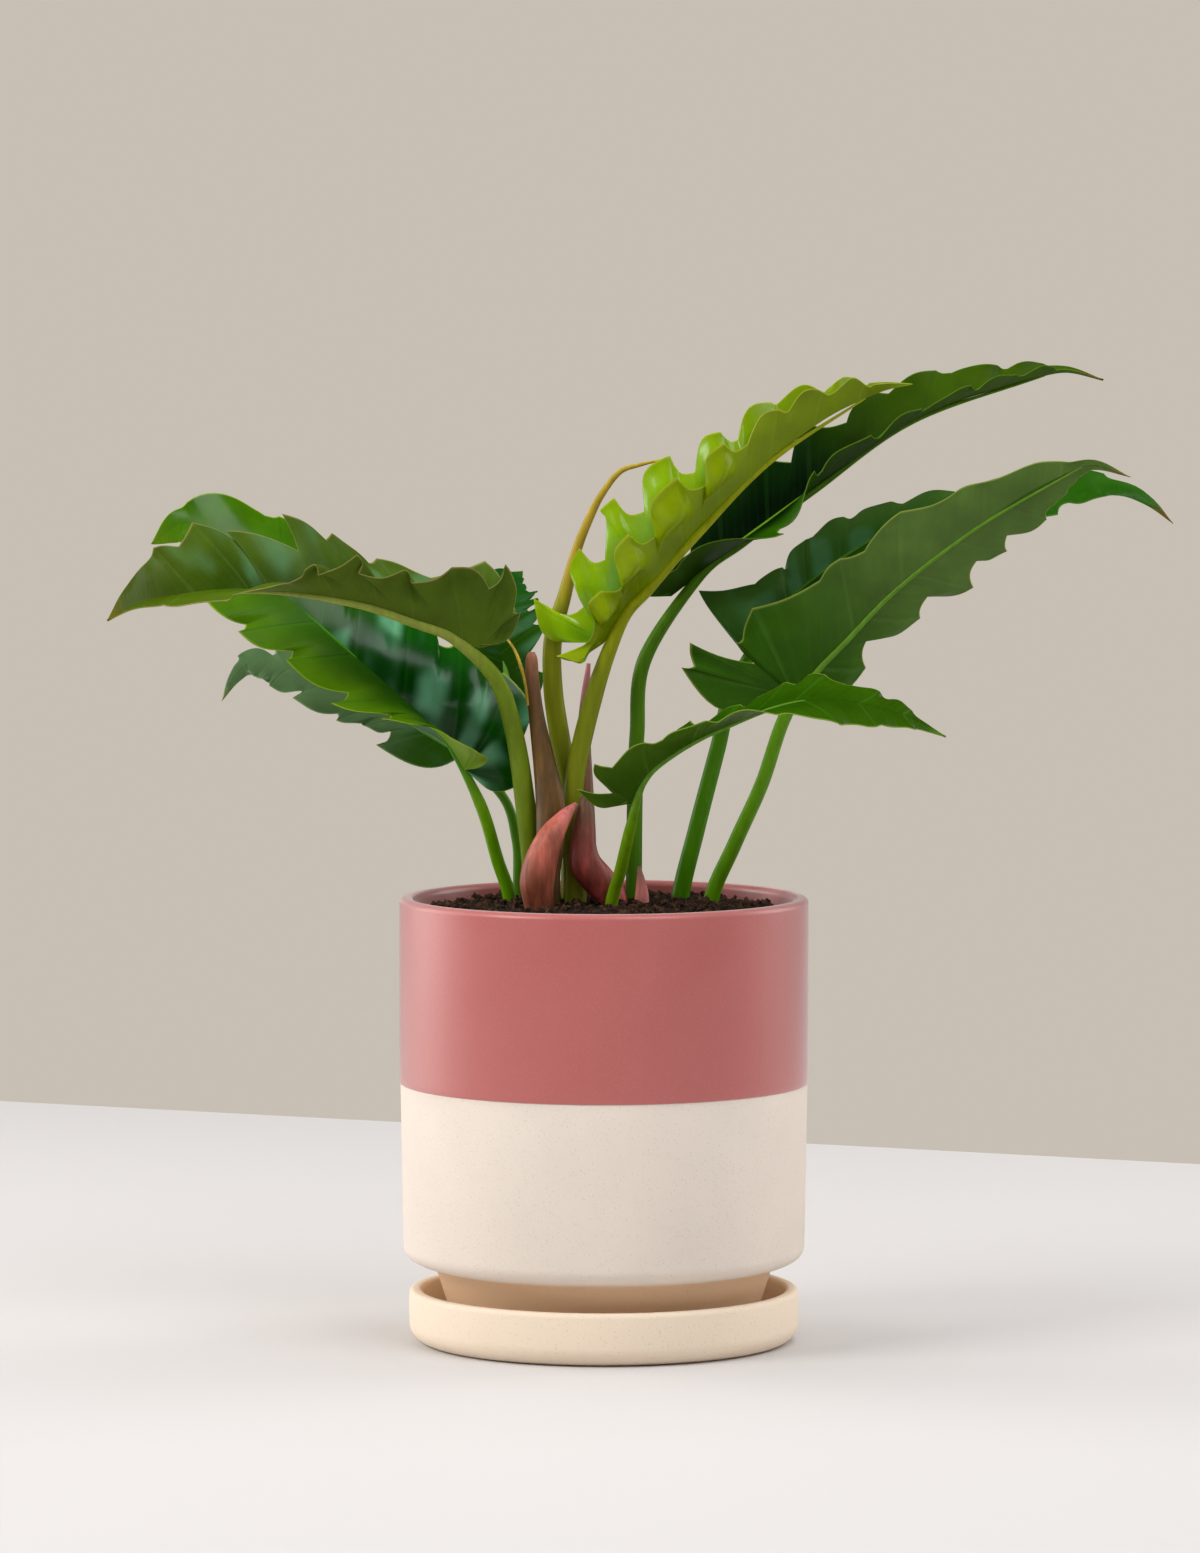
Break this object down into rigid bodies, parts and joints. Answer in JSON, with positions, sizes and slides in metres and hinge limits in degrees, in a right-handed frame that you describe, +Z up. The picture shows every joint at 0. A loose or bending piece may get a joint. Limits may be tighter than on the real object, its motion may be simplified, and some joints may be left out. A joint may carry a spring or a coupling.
{
  "type": "potted philodendron",
  "caption": "Leafy foliage plant with long toothed leaves on arching stalks, growing in a round two-tone clay pot that stands on its own saucer.",
  "frame": {"origin": "The middle of the underside of the saucer, on the axis of the pot, on the surface it stands on.", "axes": "+Z is up along the pot, +X is the way the two longest groups of leaves spread, and the front of the plant faces -Y."},
  "size_m": [0.428, 0.2175, 0.3944],
  "materials": {
    "pot_glaze": "satin",
    "bare_clay": "matte",
    "soil": "matte",
    "leaf_olive": "satin",
    "leaf_deep_green": "gloss",
    "leaf_grey_green": "satin",
    "leaf_yellow_green": "gloss",
    "leaf_dark_green": "gloss",
    "leaf_light_green": "satin",
    "leaf_spear": "satin",
    "sheath_brown": "matte",
    "sheath_pink": "satin"
  },
  "bodies": {
    "root": {"pot": "pot_glaze", "saucer": "bare_clay", "soil": "soil", "leaf_left_arching": "leaf_olive", "leaf_left_glossy": "leaf_deep_green", "leaf_left_low": "leaf_grey_green", "leaf_rear": "leaf_deep_green", "leaf_front_young": "leaf_yellow_green", "leaf_right_upper": "leaf_dark_green", "leaf_right_light": "leaf_light_green", "leaf_right_dark": "leaf_dark_green", "leaf_low_front": "leaf_light_green", "new_leaf_spear": "leaf_spear", "sheath_brown": "sheath_brown", "sheath_pink_front": "sheath_pink", "sheath_red_curled": "sheath_pink", "sheath_pink_thin": "sheath_brown", "sheath_pink_small": "sheath_pink"}
  },
  "joints": []
}
